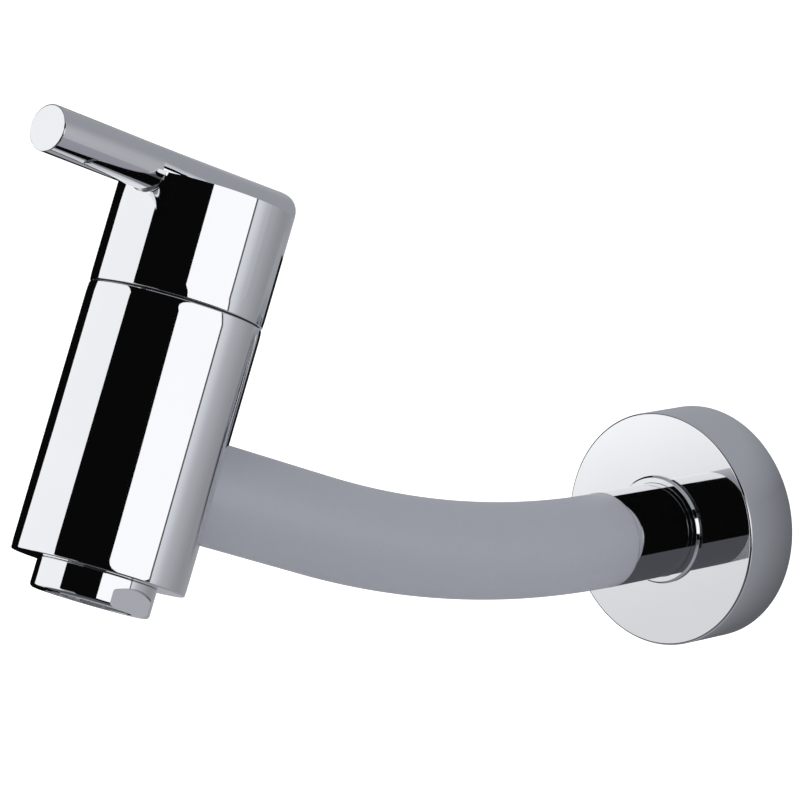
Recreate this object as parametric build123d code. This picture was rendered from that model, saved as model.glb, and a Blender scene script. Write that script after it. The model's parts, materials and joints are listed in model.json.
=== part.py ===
from build123d import *
import math
import os

# Wall-mounted basin tap with one quarter-turn lever. Millimetres.
# The wall is the plane Y = 0, the tap stands out towards -Y, and +Z is up.
# The origin is the centre of the inlet thread in the wall plane.

# Pipe, arm and neck: the bore sets the pipe, and the pipe sets what is around it
water_radius = 8.5
pipe_wall = 2.0
sleeve_wall = 1.5
neck_step = 0.1
neck_length = 21.25
neck_edge = 0.1
bend_radius = 345.0
bend_angle = 18.2
end_run = 65.2
spigot_length = 4.3
arm_ring_section = 0.7
arm_ring_inset = 1.4

# Flange on the wall
flange_radius = 30.0
flange_depth = 17.0
flange_wall = 1.5
flange_rim = 2.5
flange_edge = 0.4
collar_width = 1.8
collar_depth = 1.3
collar_edge = 0.35
collar_seat = 0.6
flange_ring_section = 0.9
flange_ring_wall = 0.8

# Inlet
inlet_thread_radius = 10.4775
inlet_thread_length = 14.0
inlet_thread_start = 0.3
thread_chamfer = 1.0
tail_wall = 1.5
tail_gap = 5.0
tail_socket_depth = 6.0
nut_wall = 3.0
nut_thickness = 5.0
nut_chamfer = 1.0
nut_cone = 3.0
washer_margin = 2.0
washer_thickness = 2.0

# Body
body_tilt = 21.0
body_radius = 20.25
body_top = 38.2
body_bottom = -24.0
body_edge = 0.35
edge_roll = 2.2
edge_roll_drop = 0.08
body_wall = 3.75
arm_sink = 3.95
chamber_wall = 3.3
chamber_rise = 2.0
recess_depth = 11.2
seat_thickness = 4.0
seat_hole_radius = 5.0
outlet_wall = 2.5
outlet_depth = 2.5
aerator_seat_depth = 7.5

# Quarter-turn valve
barrel_bore = 8.0
barrel_wall = 1.5
barrel_lift = 0.4
valve_thread_radius = 10.4775
valve_thread_length = 13.0
valve_flange_cover = 0.5
valve_flange_thickness = 2.5
valve_hex = 22.0
valve_hex_height = 6.5
valve_ring_section = 1.0
window_sill = 1.0
window_angle = 70.0
disc_thickness = 3.5
disc_hub = 1.6
disc_rim = 1.6
port_angle = 84.0
seal_thickness = 2.5
spindle_radius = 5.0
spindle_collar = 3.5
fork_length = 9.0
fork_inner = 3.5
fork_angle = 70.0
tang_angle = 38.0
tang_depth = 1.4
tang_width = 1.1
tang_play_angle = 2.0
stop_rib_depth = 1.2
stop_rib_gap = 0.3
lug_angle = 40.0
lug_height = 2.2
quarter_turn_angle = 90.0
stop_play_angle = 1.0
thrust_thickness = 0.8
spindle_ring_section = 0.6
spindle_ring_play = 0.06
spindle_ring_depths = (8.5, 3.0)
clip_thickness = 1.0
clip_width = 2.2
clip_gap_angle = 70.0
spline_inset = 1.08
spline_depth = 0.35
spline_teeth = 20
spline_rise = 2.8

# Slip ring and lever
seam_gap = 0.6
slip_inset = 0.9
slip_wall = 1.2
slip_skirt = 4.2
lever_lift = 0.05
cap_height = 25.9
cap_wall = 6.25
lever_rise_angle = 19.0
bar_radius = 5.35
bar_lift = 1.0
bar_reach = 53.5
bar_edge = 0.3
roof_inset = 1.95
roof_base = 1.5
roof_corner = 2.4
root_blend = 0.9
boss_wall = 3.0
boss_rise = 4.8
skirt_wall = 1.8
adapter_wall = 2.58
adapter_cover = 2.0
spline_cover = 5.5
screw_radius = 2.5
screw_length = 8.0
screw_socket = 2.5
screw_socket_depth = 4.0
plug_length = 3.0
plug_inset = 0.2
rib_width = 8.0

# Aerator
aerator_rim = 1.9
aerator_drop = 7.0
aerator_flats = 24.4
aerator_flats_height = 4.6
aerator_lip = 0.9
aerator_thread_radius = 12.0
aerator_thread_length = 5.5
aerator_wall = 1.5
aerator_mouth_lip = 0.6
aerator_mouth_depth = 1.6
insert_wall = 1.0
insert_plate = 2.0
insert_flange = 1.0
jet_radius = 0.85
jet_pitch = 2.3
gasket_wall = 3.0
gasket_play = 0.5

# Clearances, and how far joined shapes and cuts run into each other
fit = 0.05
running = 0.1
slide = 0.15
overlap = 1.0

# Sizes that follow from those above
pipe_radius = water_radius + pipe_wall
arm_radius = pipe_radius + sleeve_wall
neck_radius = arm_radius + neck_step
collar_radius = neck_radius + collar_width
tail_thread_radius = pipe_radius + tail_wall
tail_length = flange_depth - tail_gap
nut_flat_radius = tail_thread_radius + nut_wall
washer_radius = nut_flat_radius + washer_margin
recess_radius = body_radius - body_wall
recess_floor = body_top - recess_depth
seat_distance = body_radius - arm_sink
chamber_radius = seat_distance - chamber_wall
outlet_step = body_bottom + aerator_seat_depth
outlet_radius = aerator_thread_radius - outlet_wall
seat_low = outlet_step + outlet_depth
seat_top = seat_low + seat_thickness
barrel_radius = barrel_bore + barrel_wall
barrel_low = seat_top + barrel_lift
valve_ring_radius = valve_thread_radius + 2 * valve_ring_section
valve_flange_radius = valve_ring_radius + valve_flange_cover
valve_flange_top = recess_floor + valve_flange_thickness
hex_top = valve_flange_top + valve_hex_height
disc_radius = barrel_bore - running
disc_low = seat_top + seal_thickness
disc_top = disc_low + 2 * disc_thickness
port_radius = barrel_bore - disc_rim
collar_low = disc_top + fork_length
collar_top = collar_low + spindle_collar
stop_rib_radius = barrel_bore - stop_rib_depth
spindle_collar_radius = stop_rib_radius - stop_rib_gap
lug_low = collar_top - lug_height
thrust_low = collar_top + fit
barrel_ceiling = thrust_low + thrust_thickness
clip_low = hex_top + running
clip_groove = spindle_radius - clip_width / 2
lever_bottom = body_top + seam_gap + lever_lift
shelf_height = lever_bottom + cap_height
bar_height = shelf_height + bar_lift
lever_ceiling = shelf_height - cap_wall
skirt_radius = recess_radius - running - slip_wall - running
skirt_bore = skirt_radius - skirt_wall
boss_low = body_top + boss_rise
adapter_top = lever_ceiling - adapter_cover
spline_radius = spindle_radius - spline_inset
spline_low = body_top + spline_rise
spline_top = adapter_top - spline_cover
adapter_radius = spline_radius + adapter_wall
boss_radius = adapter_radius + boss_wall
screw_height = (boss_low + adapter_top) / 2
aerator_radius = aerator_thread_radius + aerator_rim
aerator_bottom = body_bottom - aerator_drop
aerator_bore = aerator_thread_radius - aerator_wall
aerator_mouth = aerator_bore - aerator_mouth_lip
thread_top = body_bottom + aerator_thread_length
insert_low = aerator_bottom + aerator_mouth_depth
insert_top = thread_top + insert_flange
gasket_radius = aerator_thread_radius - gasket_play

UP = (Align.CENTER, Align.CENTER, Align.MIN)
DOWN = (Align.CENTER, Align.CENTER, Align.MAX)


def rod(radius, low, high):
    return Pos(0, 0, low) * Cylinder(radius, high - low, align=UP)


def ring(inner, outer, low, high):
    return rod(outer, low, high) - rod(inner, low, high)


def o_ring(centre_radius, section, height):
    return Pos(0, 0, height) * Torus(centre_radius, section)


def turned(outline):
    """Turns a closed outline of (radius, height) points about the Z axis."""
    return revolve(make_face(Polyline([(r, 0, z) for r, z in outline], close=True)), Axis.Z)


def sector(inner, outer, centre, angle, low, high):
    """A piece of a ring, as wide as angle, around the direction centre in degrees."""
    corners = [(inner, 0, low), (outer, 0, low), (outer, 0, high), (inner, 0, high)]
    face = make_face(Polyline(corners, close=True))
    return Rot(0, 0, centre - angle / 2) * revolve(face, Axis.Z, revolution_arc=angle)


def hexagon(flat_radius, low, high):
    return Pos(0, 0, low) * extrude(RegularPolygon(flat_radius, 6, major_radius=False), high - low)


def polished_cylinder(radius, low, high):
    """A cylinder whose lower end rolls inwards a little from polishing, and has a broken edge."""
    rolled = radius - edge_roll_drop
    edge = low + body_edge
    outline = (
        Line((0, 0, low), (rolled - body_edge, 0, low))
        + Line((rolled - body_edge, 0, low), (rolled, 0, edge))
        + ThreePointArc(
            (rolled, 0, edge),
            (radius - edge_roll_drop / 4, 0, edge + edge_roll / 2),
            (radius, 0, edge + edge_roll),
        )
        + Line((radius, 0, edge + edge_roll), (radius, 0, high))
        + Line((radius, 0, high), (0, 0, high))
        + Line((0, 0, high), (0, 0, low))
    )
    return revolve(make_face(outline), Axis.Z)


# The arm's centre line: out from the wall, a gentle bend upwards, then straight to the body's axis
turn = math.radians(bend_angle)
bend_start = (0, -flange_depth - neck_length, 0)


def on_bend(angle):
    return (
        0,
        bend_start[1] - bend_radius * math.sin(angle),
        bend_radius * (1 - math.cos(angle)),
    )


def past_bend(distance):
    y, z = on_bend(turn)[1:]
    return (0, y - distance * math.cos(turn), z + distance * math.sin(turn))


body_centre = past_bend(end_run)
tilt = math.radians(body_tilt)


def placed(origin, direction):
    """The place of a shape whose Z axis starts at origin and points along direction."""
    return Plane(origin=origin, x_dir=(1, 0, 0), z_dir=direction).location


body_frame = placed(body_centre, (0, math.sin(tilt), math.cos(tilt)))
arm_frame = placed(body_centre, (0, math.cos(turn), -math.sin(turn)))
wall_frame = placed((0, 0, 0), (0, -1, 0))


def bent_rod(radius, start_y, end_distance):
    """A round bar along the arm, from start_y to end_distance before the body's axis."""
    path = ThreePointArc(bend_start, on_bend(turn / 2), on_bend(turn)) + Line(
        on_bend(turn), past_bend(end_run - end_distance)
    )
    if start_y > bend_start[1]:
        path = Line((0, start_y, 0), bend_start) + path
    section = Plane(origin=(0, start_y, 0), z_dir=(0, -1, 0)) * Circle(radius)
    return sweep(section, path=path)


# On the wall side, heights are measured away from the wall
ring_groove = neck_radius + 2 * flange_ring_section
groove_high = flange_depth - flange_wall
groove_low = groove_high - 2 * flange_ring_section - running
collar_seat_radius = collar_radius - flange_ring_wall


def wall_flange():
    bore = neck_radius + slide
    boss = ring_groove + flange_ring_wall
    lip = groove_low - flange_ring_wall
    rim = flange_radius - flange_rim
    cup = turned(
        [
            (flange_radius, 0),
            (flange_radius, flange_depth),
            (collar_seat_radius, flange_depth),
            (collar_seat_radius, flange_depth - collar_seat),
            (bore, flange_depth - collar_seat),
            (bore, groove_high),
            (ring_groove, groove_high),
            (ring_groove, groove_low),
            (bore, groove_low),
            (bore, lip),
            (boss, lip),
            (boss, groove_high),
            (rim, groove_high),
            (rim, 0),
        ]
    )
    front = cup.edges().filter_by(GeomType.CIRCLE).group_by(Axis.Z)[-1].sort_by(SortBy.RADIUS)[-1]
    return wall_frame * fillet(front, flange_edge)


def flange_o_ring():
    height = (groove_low + groove_high) / 2
    return wall_frame * o_ring(neck_radius + flange_ring_section, flange_ring_section - fit / 2, height)


def flange_collar():
    low = flange_depth - collar_seat
    high = flange_depth + collar_depth
    seat = collar_seat_radius - fit
    shape = turned(
        [
            (neck_radius + fit, low),
            (seat, low),
            (seat, flange_depth),
            (collar_radius, flange_depth),
            (collar_radius, high),
            (neck_radius + fit, high),
        ]
    )
    top = shape.edges().filter_by(GeomType.CIRCLE).group_by(Axis.Z)[-1].sort_by(SortBy.RADIUS)[-1]
    return wall_frame * fillet(top, collar_edge)


def inlet_tail():
    thread = rod(inlet_thread_radius, -inlet_thread_length, inlet_thread_start)
    thread = chamfer(thread.edges().filter_by(GeomType.CIRCLE).sort_by(Axis.Z)[0], thread_chamfer)
    tail = thread + rod(tail_thread_radius, inlet_thread_start, tail_length)
    tail -= rod(water_radius, -inlet_thread_length, tail_length)
    tail -= rod(pipe_radius + fit, tail_length - tail_socket_depth, tail_length)
    return wall_frame * tail


def wall_washer():
    return wall_frame * ring(tail_thread_radius + fit, washer_radius, 0, washer_thickness)


def lock_nut():
    high = washer_thickness + nut_thickness
    nut = hexagon(nut_flat_radius, washer_thickness, high)
    nut &= turned(
        [
            (0, washer_thickness),
            (nut_flat_radius, washer_thickness),
            (nut_flat_radius + nut_cone, washer_thickness + nut_chamfer),
            (nut_flat_radius + nut_cone, high - nut_chamfer),
            (nut_flat_radius, high),
            (0, high),
        ]
    )
    return wall_frame * (nut - rod(tail_thread_radius + fit, washer_thickness, high))


def neck_sleeve():
    sleeve = ring(pipe_radius + fit, neck_radius, tail_length, flange_depth + neck_length)
    outer = sleeve.edges().filter_by(GeomType.CIRCLE).group_by(Axis.Z)[-1].sort_by(SortBy.RADIUS)[-1]
    return wall_frame * chamfer(outer, neck_edge)


def arm_sleeve():
    return bent_rod(arm_radius, bend_start[1], seat_distance) - bent_rod(
        pipe_radius + fit, bend_start[1], seat_distance
    )


def arm_pipe():
    start = -(tail_length - tail_socket_depth)
    end = seat_distance - spigot_length
    return bent_rod(pipe_radius, start, end) - bent_rod(water_radius, start, end)


arm_ring_height = seat_distance - arm_ring_inset


def arm_o_ring():
    centre = pipe_radius + arm_ring_section
    return arm_frame * o_ring(centre + fit / 2, arm_ring_section - fit / 2, arm_ring_height)


def body_shell():
    middle = (body_bottom + body_top) / 2
    body = polished_cylinder(body_radius, body_bottom, middle)
    body += Pos(0, 0, 2 * middle) * Rot(180, 0, 0) * polished_cylinder(body_radius, body_bottom, middle)
    body -= rod(recess_radius, recess_floor, body_top)
    body -= rod(valve_thread_radius + fit, seat_top, recess_floor)
    body -= rod(chamber_radius, seat_top, recess_floor - valve_thread_length + chamber_rise)
    body -= rod(seat_hole_radius, seat_low, seat_top)
    body -= rod(outlet_radius, outlet_step, seat_low)
    body -= rod(aerator_thread_radius + fit, body_bottom, outlet_step)
    ring_low = recess_floor - 2 * valve_ring_section
    body -= ring(valve_thread_radius, valve_ring_radius, ring_low, recess_floor)
    shell = body_frame * body
    shell -= arm_frame * rod(pipe_radius + fit, 0, seat_distance)
    shell -= arm_frame * rod(arm_radius + fit, seat_distance, 2 * body_radius)
    groove_radius = pipe_radius + 2 * arm_ring_section
    low = arm_ring_height - arm_ring_section
    return shell - arm_frame * rod(groove_radius, low, low + 2 * arm_ring_section)


def slip_ring():
    outer = body_radius - slip_inset
    inner = recess_radius - running - slip_wall
    high = body_top + seam_gap
    return body_frame * turned(
        [
            (inner, body_top - slip_skirt),
            (recess_radius - running, body_top - slip_skirt),
            (recess_radius - running, body_top),
            (outer, body_top),
            (outer, high),
            (inner, high),
        ]
    )


# The ribs leave the lugs on the spindle a quarter turn and a little play
rib_angle = 180 - lug_angle - quarter_turn_angle - stop_play_angle
lug_direction = 90.0
rib_direction = lug_direction - (lug_angle + stop_play_angle + rib_angle) / 2


def valve_housing():
    thread_low = recess_floor - valve_thread_length
    housing = rod(barrel_radius, barrel_low, thread_low + overlap)
    housing += rod(valve_thread_radius, thread_low, recess_floor)
    housing += rod(valve_flange_radius, recess_floor, valve_flange_top)
    housing += hexagon(valve_hex / 2, valve_flange_top, hex_top)
    housing -= rod(barrel_bore, barrel_low, barrel_ceiling)
    housing -= rod(spindle_radius + running, barrel_ceiling, hex_top)
    window_low = disc_top + window_sill
    window_high = collar_low - window_sill
    for side in (0, 180):
        housing -= sector(
            barrel_bore - overlap, barrel_radius + overlap, side, window_angle, window_low, window_high
        )
        rib_root = barrel_bore + barrel_wall / 2
        housing += sector(stop_rib_radius, rib_root, side + rib_direction, rib_angle, lug_low, thrust_low)
    return body_frame * housing


def housing_o_ring():
    centre = valve_thread_radius + valve_ring_section
    height = recess_floor - valve_ring_section
    return body_frame * o_ring(centre + fit / 2, valve_ring_section - fit / 2, height)


def seat_seal():
    return body_frame * ring(seat_hole_radius, disc_radius, seat_top, disc_low)


def ported_disc(direction, low, high):
    disc = rod(disc_radius, low, high)
    for side in (0, 180):
        disc -= sector(disc_hub, port_radius, direction + side, port_angle, low, high)
    return disc


def fixed_disc():
    return body_frame * ported_disc(90, disc_low, disc_low + disc_thickness)


def turning_disc():
    disc = ported_disc(0, disc_low + disc_thickness + fit / 2, disc_top)
    for side in (90, 270):
        disc -= sector(
            disc_radius - tang_width - running,
            barrel_bore,
            side,
            tang_angle + tang_play_angle,
            disc_top - tang_depth - running,
            disc_top,
        )
    return body_frame * disc


def thrust_washer():
    return body_frame * ring(spindle_radius + running, disc_radius, thrust_low, barrel_ceiling)


def splined_rod(radius, depth, low, high):
    """A rod with straight splines, as many as spline_teeth."""
    points = []
    step = 360 / spline_teeth
    for tooth in range(spline_teeth):
        for part, reach in ((0, radius - depth), (0.25, radius), (0.5, radius), (0.75, radius - depth)):
            angle = math.radians((tooth + part) * step)
            points.append((reach * math.cos(angle), reach * math.sin(angle)))
    return Pos(0, 0, low) * extrude(make_face(Polyline(points, close=True)), high - low)


def spindle():
    tang_inner = disc_radius - tang_width
    tang_outer = disc_radius - running
    shaft = rod(spindle_collar_radius, collar_low, collar_top)
    shaft += rod(spindle_radius, collar_low, spline_low)
    shaft += splined_rod(spline_radius, spline_depth, spline_low - overlap, spline_top)
    for side in (90, 270):
        shaft += sector(fork_inner, tang_outer, side, fork_angle, disc_top + fit, collar_low + overlap / 2)
        tang_low = disc_top - tang_depth
        shaft += sector(tang_inner, tang_outer, side, tang_angle, tang_low, disc_top + overlap / 2)
        lug_root = spindle_collar_radius - overlap / 2
        shaft += sector(lug_root, disc_radius, side + lug_direction - 90, lug_angle, lug_low, collar_top)
    for depth in spindle_ring_depths:
        height = recess_floor - depth
        half = spindle_ring_section + spindle_ring_play
        groove = spindle_radius - 2 * spindle_ring_section
        shaft -= ring(groove, spindle_radius + overlap, height - half, height + half)
    shaft -= ring(clip_groove, spindle_radius + overlap, clip_low, clip_low + clip_thickness)
    return body_frame * shaft


def spindle_o_rings():
    centre = spindle_radius - spindle_ring_section
    rings = [
        o_ring(centre + fit / 2, spindle_ring_section - fit / 2, recess_floor - depth)
        for depth in spindle_ring_depths
    ]
    return Compound([body_frame * one for one in rings])


def spindle_clip():
    low = clip_low + fit
    high = clip_low + clip_thickness - fit
    outer = clip_groove + clip_width
    return body_frame * sector(clip_groove + fit, outer, 90, 360 - clip_gap_angle, low, high)


# The lever: a cap on the body's axis and a round bar that slopes down a little from square to it
bar_droop = math.radians(body_tilt - lever_rise_angle)
bar_frame = placed((0, 0, bar_height), (0, -math.cos(bar_droop), -math.sin(bar_droop)))


# The bar's root: the roof ends here, and what is above the shelf and behind here is the roof alone
root_reach = body_radius + root_blend
ridge = bar_height + bar_radius + root_reach * math.tan(bar_droop)


def roof():
    """The arched top of the cap, which narrows from a wide arch at the back to the bar's round section."""
    base = shelf_height - roof_base
    front = bar_frame * Pos(0, 0, root_reach) * Circle(bar_radius)
    back = placed((0, root_reach, base), (0, -1, 0)) * Ellipse(body_radius - roof_inset, ridge - base)
    limit = rod(body_radius, base, ridge + overlap)
    width = 2 * (bar_radius + root_blend)
    limit += Pos(0, -body_radius, shelf_height) * Box(width, 2 * body_radius, width, align=UP)
    arch = loft([back, front]) & limit
    high = shelf_height + bar_lift
    corner = [e for e in arch.edges() if e.center().Y > body_radius / 2 and e.center().Z > high]
    return fillet(corner, roof_corner)


def cap_and_bar():
    """The bar is blended into a cap that is too tall, whose top then gives way to the roof."""
    bar = bar_frame * rod(bar_radius, 0, bar_reach)
    tip = bar.edges().filter_by(GeomType.CIRCLE).sort_by(Axis.Y)[0]
    cap = polished_cylinder(body_radius, lever_bottom, ridge + bar_radius)
    handle = cap + fillet(tip, bar_edge)
    handle = fillet(handle.edges().filter_by(GeomType.BSPLINE), root_blend)
    far = 4 * body_radius
    above = Pos(0, 0, shelf_height) * Box(far, far, far, align=UP)
    above &= bar_frame * Pos(0, 0, root_reach) * Box(far, far, far, align=DOWN)
    return handle - above + roof()


def lever_handle():
    handle = cap_and_bar()
    skirt_low = body_top - slip_skirt
    handle += rod(skirt_radius, skirt_low, lever_bottom + overlap)
    handle -= rod(skirt_bore, skirt_low, lever_ceiling)
    rib_height = lever_ceiling + overlap - boss_low
    rib_reach = (skirt_bore + body_radius) / 2
    handle += rod(boss_radius, boss_low, boss_low + rib_height)
    handle += Pos(0, 0, boss_low) * Box(
        rib_width, rib_reach, rib_height, align=(Align.CENTER, Align.MIN, Align.MIN)
    )
    handle -= rod(adapter_radius + fit, boss_low, adapter_top + fit)
    handle -= rear_hole(screw_radius + fit, adapter_radius - overlap, 2 * body_radius)
    return body_frame * handle


def rear_hole(radius, start, end):
    """A round bar from the lever's axis towards the wall, at the screw's height."""
    return placed((0, 0, screw_height), (0, 1, 0)) * rod(radius, start, end)


def spline_adapter():
    adapter = rod(adapter_radius, boss_low, adapter_top)
    adapter -= splined_rod(spline_radius + fit, spline_depth, boss_low, spline_top + overlap)
    return body_frame * adapter


def lever_grub_screw():
    start = adapter_radius + fit
    screw = rear_hole(screw_radius, start, start + screw_length)
    key = placed((0, start + screw_length, screw_height), (0, -1, 0))
    return body_frame * (screw - key * hexagon(screw_socket / 2, 0, screw_socket_depth))


def screw_plug():
    outer = body_radius - plug_inset
    return body_frame * rear_hole(screw_radius, outer - plug_length, outer)


def aerator_housing():
    shell = rod(aerator_radius, aerator_bottom, body_bottom)
    shell = fillet(shell.edges().filter_by(GeomType.CIRCLE).sort_by(Axis.Z)[0], aerator_lip)
    across = 2 * (aerator_radius + overlap)
    flats = Pos(0, 0, aerator_bottom) * Box(aerator_flats, across, aerator_flats_height, align=UP)
    above = rod(aerator_radius, aerator_bottom + aerator_flats_height, body_bottom)
    shell &= flats + above
    shell += rod(aerator_thread_radius, body_bottom, thread_top)
    shell -= rod(aerator_bore, insert_low, thread_top)
    shell -= rod(aerator_mouth, aerator_bottom, thread_top)
    return body_frame * shell


def aerator_insert():
    outer = aerator_bore - fit
    insert = rod(outer, insert_low, insert_top) + rod(gasket_radius, thread_top, insert_top)
    insert -= rod(outer - insert_wall, insert_low + insert_plate, insert_top - insert_plate / 2)
    rows = int((outer - insert_wall) / jet_pitch)
    jets = []
    for row in range(-rows, rows + 1):
        for column in range(-rows, rows + 1):
            x = jet_pitch * (column + row / 2)
            y = jet_pitch * row * math.sqrt(3) / 2
            if math.hypot(x, y) < outer - insert_wall - jet_radius:
                jets.append(Pos(x, y, 0) * rod(jet_radius, insert_low, insert_top))
    return body_frame * (insert - jets)


def aerator_washer():
    return body_frame * ring(gasket_radius - gasket_wall, gasket_radius, insert_top, outlet_step)


pieces = (
    wall_flange,
    flange_o_ring,
    flange_collar,
    inlet_tail,
    wall_washer,
    lock_nut,
    neck_sleeve,
    arm_sleeve,
    arm_pipe,
    arm_o_ring,
    body_shell,
    slip_ring,
    valve_housing,
    housing_o_ring,
    seat_seal,
    fixed_disc,
    turning_disc,
    thrust_washer,
    spindle,
    spindle_o_rings,
    spindle_clip,
    lever_handle,
    spline_adapter,
    lever_grub_screw,
    screw_plug,
    aerator_housing,
    aerator_insert,
    aerator_washer,
)

os.makedirs("parts", exist_ok=True)
for make in pieces:
    export_step(make(), f"parts/{make.__name__}.step")
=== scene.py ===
import json
import math

import bmesh
import bpy
from mathutils import Matrix, Vector


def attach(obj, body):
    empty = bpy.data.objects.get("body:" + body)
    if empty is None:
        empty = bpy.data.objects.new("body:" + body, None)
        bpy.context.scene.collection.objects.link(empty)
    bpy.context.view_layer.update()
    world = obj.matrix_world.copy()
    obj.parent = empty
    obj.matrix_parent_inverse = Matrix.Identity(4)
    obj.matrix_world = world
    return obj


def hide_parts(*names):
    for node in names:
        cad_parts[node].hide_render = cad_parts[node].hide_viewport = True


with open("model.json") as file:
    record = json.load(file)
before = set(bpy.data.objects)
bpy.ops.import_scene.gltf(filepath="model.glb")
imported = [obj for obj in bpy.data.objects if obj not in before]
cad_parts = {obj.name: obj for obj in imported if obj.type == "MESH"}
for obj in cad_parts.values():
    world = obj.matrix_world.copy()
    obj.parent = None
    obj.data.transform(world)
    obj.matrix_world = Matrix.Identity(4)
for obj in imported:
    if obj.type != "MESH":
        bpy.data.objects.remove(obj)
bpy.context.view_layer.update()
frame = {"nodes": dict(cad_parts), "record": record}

bl_info = {
    "name": "Wall-mounted Basin Tap",
    "version": (1, 0, 0),
    "blender": (4, 5, 0),
    "location": "3D View > Sidebar > Basin Tap",
    "description": "Builds the pieces, finishes and studio of a wall-mounted basin tap around its CAD frame",
    "category": "Object",
}

MM = 0.001
SQUARE = ((-1, -1), (1, -1), (1, 1), (-1, 1))

# Sizes that several pieces share, in mm
PIPE_BORE = 10.55  # radius of the bore for the water pipe
NECK_END = 38.25  # from the wall to where the grey arm starts
SLEEVE_BORE = 12.05  # radius of the body's two wide openings, for the arm and for the outlet
BEND_TO_AXIS = 65.2  # from the arm's bend to the body's axis
ARM_END = 16.3  # from the body's axis to where the grey arm ends
SEAM_RING = 19.45  # inner radius of the two rims at the seam, round the dark ring
LIP = 0.17  # how far the two rims stand out towards each other

# The body's axis leans back towards the wall; its origin is where the arm's centre line meets it
BODY_TILT = math.radians(21.0)
ARM_RISE = math.radians(18.2)
BODY_CENTRE = Vector((0, -207.94372, 37.62388)) * MM
BODY_AXIS = Vector((0, math.sin(BODY_TILT), math.cos(BODY_TILT)))
BODY_BACK = Vector((0, math.cos(BODY_TILT), -math.sin(BODY_TILT)))
ACROSS = Vector((1, 0, 0))


def linear(hex_colour):
    """An sRGB hex colour as the linear red, green, blue and alpha that Blender's sockets take."""
    parts = [int(hex_colour[i:i + 2], 16) / 255 for i in (0, 2, 4)]
    return tuple(c / 12.92 if c <= 0.04045 else ((c + 0.055) / 1.055) ** 2.4 for c in parts) + (1.0,)


def place(origin, axis):
    """The matrix of a frame at origin whose X is across the tap and whose Z is axis."""
    return Matrix.Translation(origin) @ Matrix((ACROSS, axis.cross(ACROSS), axis)).transposed().to_4x4()


BODY_FRAME = place(BODY_CENTRE, BODY_AXIS)
WALL_FRAME = place(Vector((0, 0, 0)), Vector((0, -1, 0)))
ARM_FRAME = place(BODY_CENTRE, Vector((0, math.cos(ARM_RISE), -math.sin(ARM_RISE))))


# Turned pieces


def rounded(corners, steps=6):
    """Rounds the corners of a closed outline of (radius, height, reach) in millimetres.

    The outline runs with its solid on the left. Reach is how far the round starts from the corner, along both sides.
    Returns the points, each with the outward normals before and after it."""
    rows = []
    for i, (r, z, reach) in enumerate(corners):
        here = Vector((r, z))
        before = (here - Vector(corners[i - 1][:2])).normalized()
        after = (Vector(corners[(i + 1) % len(corners)][:2]) - here).normalized()
        normals = [Vector((d.y, -d.x)) for d in (before, after)]
        if not reach:
            rows.append((here, *normals))
            continue
        turn = -before.angle_signed(after)
        radius = reach / math.tan(turn / 2)
        centre = here - reach * before - radius * normals[0]
        for step in range(steps + 1):
            normal = Matrix.Rotation(turn * step / steps, 2) @ normals[0]
            rows.append((centre + radius * normal, normal, normal))
    return rows


def new_piece(name, points, faces, normals=None):
    """A mesh object from points in metres, with a normal for each face corner where they are given."""
    mesh = bpy.data.meshes.new(name)
    mesh.from_pydata(points, [], faces)
    mesh.polygons.foreach_set("use_smooth", [True] * len(faces))
    if normals:
        mesh.normals_split_custom_set(normals)
    piece = bpy.data.objects.new(name, mesh)
    bpy.context.scene.collection.objects.link(piece)
    return piece


def turned(name, matrix, corners, around=192, steps=6):
    """A closed outline turned about a frame's Z axis, with the exact normals of its surfaces."""
    rows = rounded(corners, steps)
    angles = [2 * math.pi * j / around for j in range(around)]
    spins = [(math.cos(a), math.sin(a)) for a in angles]
    rotation = matrix.to_3x3()
    points = [matrix @ Vector((p.x * c * MM, p.x * s * MM, p.y * MM)) for p, _, _ in rows for c, s in spins]
    faces, normals = [], []
    for i, (_, _, leaving) in enumerate(rows):
        k = (i + 1) % len(rows)
        arriving = rows[k][1]
        for j in range(around):
            m = (j + 1) % around
            faces.append((i * around + j, i * around + m, k * around + m, k * around + j))
            for flat, spin in ((leaving, j), (leaving, m), (arriving, m), (arriving, j)):
                c, s = spins[spin]
                normals.append(rotation @ Vector((flat.x * c, flat.x * s, flat.y)))
    return new_piece(name, points, faces, normals)


def rolled(radius, end, way):
    """The outline of an outer edge that leans in a little before its small rounding.

    Way is 1 where the piece goes on above the edge, and -1 where it goes on below."""
    roll, lean, edge = 2.6, 0.085, 0.3
    slip = roll * lean / 2 + edge * lean
    corners = [(radius - slip, end, edge), (radius, end + way * (edge + roll / 2), roll / 2)]
    return corners if way > 0 else corners[::-1]


def finished(piece, body, slot, *replaced):
    """Dresses a piece, hangs it on its body and lets it stand for the CAD parts that it replaces."""
    dress(piece, slot)
    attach(piece, body)
    if replaced:
        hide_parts(*replaced)
    return piece


def settled(piece):
    """The piece with its modifiers made into a plain mesh."""
    evaluated = piece.evaluated_get(bpy.context.evaluated_depsgraph_get())
    mesh = bpy.data.meshes.new_from_object(evaluated)
    piece.modifiers.clear()
    piece.data = mesh
    return piece


def keep_normals(mesh):
    """Stores the corner normals in an attribute, which a boolean carries along."""
    values = [0.0] * (3 * len(mesh.loops))
    mesh.corner_normals.foreach_get("vector", values)
    mesh.attributes.new("kept_normal", "FLOAT_VECTOR", "CORNER").data.foreach_set("vector", values)


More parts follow.
